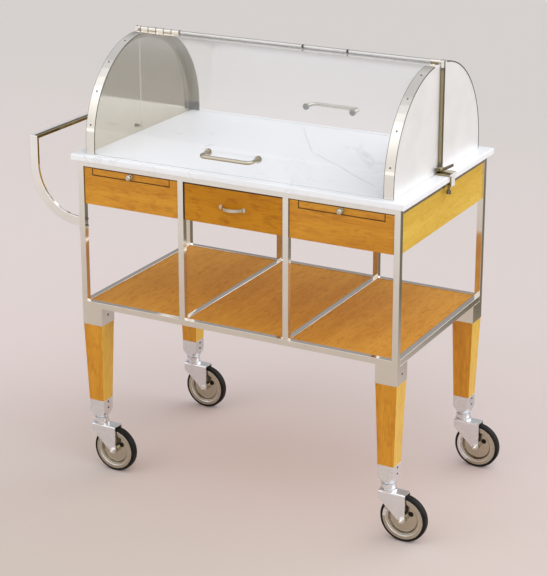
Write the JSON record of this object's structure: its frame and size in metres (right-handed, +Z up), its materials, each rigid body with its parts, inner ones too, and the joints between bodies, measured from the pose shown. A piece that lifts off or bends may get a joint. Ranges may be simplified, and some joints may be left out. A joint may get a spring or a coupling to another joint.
{
  "type": "cheese cart",
  "caption": "Serving cart for cheese: steel tube frame on wooden legs with casters, marble top under a hinged clear cover, drawer, pull-out boards, lower shelf and push handle.",
  "frame": {"origin": "on the floor, under the middle of the whole cart", "axes": "+X along the cart away from the push handle, -Y towards the drawer side, +Z up"},
  "size_m": [1.1514, 0.6268, 1.185],
  "materials": {
    "polished_steel": "polished",
    "wheel_steel": "satin",
    "marble": "polished",
    "lacquered_wood": "lacquered",
    "clear_acrylic": "clear",
    "tyre_rubber": "matte"
  },
  "bodies": {
    "cart": {"front_frame": "polished_steel", "rear_frame": "polished_steel", "side_rail_left_top": "polished_steel", "side_rail_left_shelf": "polished_steel", "side_rail_right_top": "polished_steel", "side_rail_right_shelf": "polished_steel", "shelf_divider_left": "polished_steel", "shelf_divider_right": "polished_steel", "marble_top": "marble", "shelf_left": "lacquered_wood", "shelf_centre": "lacquered_wood", "shelf_right": "lacquered_wood", "end_panel_left": "lacquered_wood", "end_panel_right": "lacquered_wood", "back_panel": "lacquered_wood", "fascia_left": "lacquered_wood", "fascia_right": "lacquered_wood", "partition_left": "lacquered_wood", "partition_right": "lacquered_wood", "push_handle": "polished_steel", "upright_left": "polished_steel", "upright_right": "polished_steel", "ridge_rod": "polished_steel", "leg_front_left": "lacquered_wood", "ferrule_front_left": "polished_steel", "leg_front_right": "lacquered_wood", "ferrule_front_right": "polished_steel", "leg_rear_left": "lacquered_wood", "ferrule_rear_left": "polished_steel", "leg_rear_right": "lacquered_wood", "ferrule_rear_right": "polished_steel"},
    "drawer": {"drawer_front": "lacquered_wood", "drawer_box": "lacquered_wood", "drawer_pull": "polished_steel"},
    "pull_out_board_left": {"board_left": "lacquered_wood", "knob_left": "polished_steel"},
    "pull_out_board_right": {"board_right": "lacquered_wood", "knob_right": "polished_steel"},
    "front_cover": {"front_sheet": "clear_acrylic", "front_end_left": "polished_steel", "front_end_right": "polished_steel", "front_grip": "polished_steel", "front_hinge_leaf": "polished_steel"},
    "rear_cover": {"rear_sheet": "clear_acrylic", "rear_end_left": "polished_steel", "rear_end_right": "polished_steel", "rear_grip": "polished_steel", "rear_hinge_leaf": "polished_steel"},
    "caster_front_left": {"fork_front_left": "polished_steel"},
    "wheel_front_left": {"disc_front_left": "wheel_steel", "tyre_front_left": "tyre_rubber"},
    "caster_front_right": {"fork_front_right": "polished_steel"},
    "wheel_front_right": {"disc_front_right": "wheel_steel", "tyre_front_right": "tyre_rubber"},
    "caster_rear_left": {"fork_rear_left": "polished_steel"},
    "wheel_rear_left": {"disc_rear_left": "wheel_steel", "tyre_rear_left": "tyre_rubber"},
    "caster_rear_right": {"fork_rear_right": "polished_steel"},
    "wheel_rear_right": {"disc_rear_right": "wheel_steel", "tyre_rear_right": "tyre_rubber"}
  },
  "joints": [
    {"name": "drawer_slide", "type": "slide", "parent": "cart", "child": "drawer", "axis": [0, -1, 0], "range_m": [0, 0.32]},
    {"name": "board_left_slide", "type": "slide", "parent": "cart", "child": "pull_out_board_left", "axis": [0, -1, 0], "range_m": [0, 0.3]},
    {"name": "board_right_slide", "type": "slide", "parent": "cart", "child": "pull_out_board_right", "axis": [0, -1, 0], "range_m": [0, 0.3]},
    {"name": "front_cover_hinge", "type": "hinge", "parent": "cart", "child": "front_cover", "pos_m": [0.03925, 0, 1.17948], "axis": [-1, 0, 0], "range_deg": [0, 85]},
    {"name": "rear_cover_hinge", "type": "hinge", "parent": "cart", "child": "rear_cover", "pos_m": [0.03925, 0, 1.17948], "axis": [1, 0, 0], "range_deg": [0, 85]},
    {"name": "swivel_front_left", "type": "hinge", "parent": "cart", "child": "caster_front_left", "pos_m": [-0.39075, -0.244, 0.15], "axis": [0, 0, 1], "continuous": true},
    {"name": "spin_front_left", "type": "hinge", "parent": "caster_front_left", "child": "wheel_front_left", "pos_m": [-0.34675, -0.244, 0.0625], "axis": [0, 1, 0], "continuous": true},
    {"name": "swivel_front_right", "type": "hinge", "parent": "cart", "child": "caster_front_right", "pos_m": [0.46925, -0.244, 0.15], "axis": [0, 0, 1], "continuous": true},
    {"name": "spin_front_right", "type": "hinge", "parent": "caster_front_right", "child": "wheel_front_right", "pos_m": [0.51325, -0.244, 0.0625], "axis": [0, 1, 0], "continuous": true},
    {"name": "swivel_rear_left", "type": "hinge", "parent": "cart", "child": "caster_rear_left", "pos_m": [-0.39075, 0.244, 0.15], "axis": [0, 0, 1], "continuous": true},
    {"name": "spin_rear_left", "type": "hinge", "parent": "caster_rear_left", "child": "wheel_rear_left", "pos_m": [-0.34675, 0.244, 0.0625], "axis": [0, 1, 0], "continuous": true},
    {"name": "swivel_rear_right", "type": "hinge", "parent": "cart", "child": "caster_rear_right", "pos_m": [0.46925, 0.244, 0.15], "axis": [0, 0, 1], "continuous": true},
    {"name": "spin_rear_right", "type": "hinge", "parent": "caster_rear_right", "child": "wheel_rear_right", "pos_m": [0.51325, 0.244, 0.0625], "axis": [0, 1, 0], "continuous": true}
  ]
}
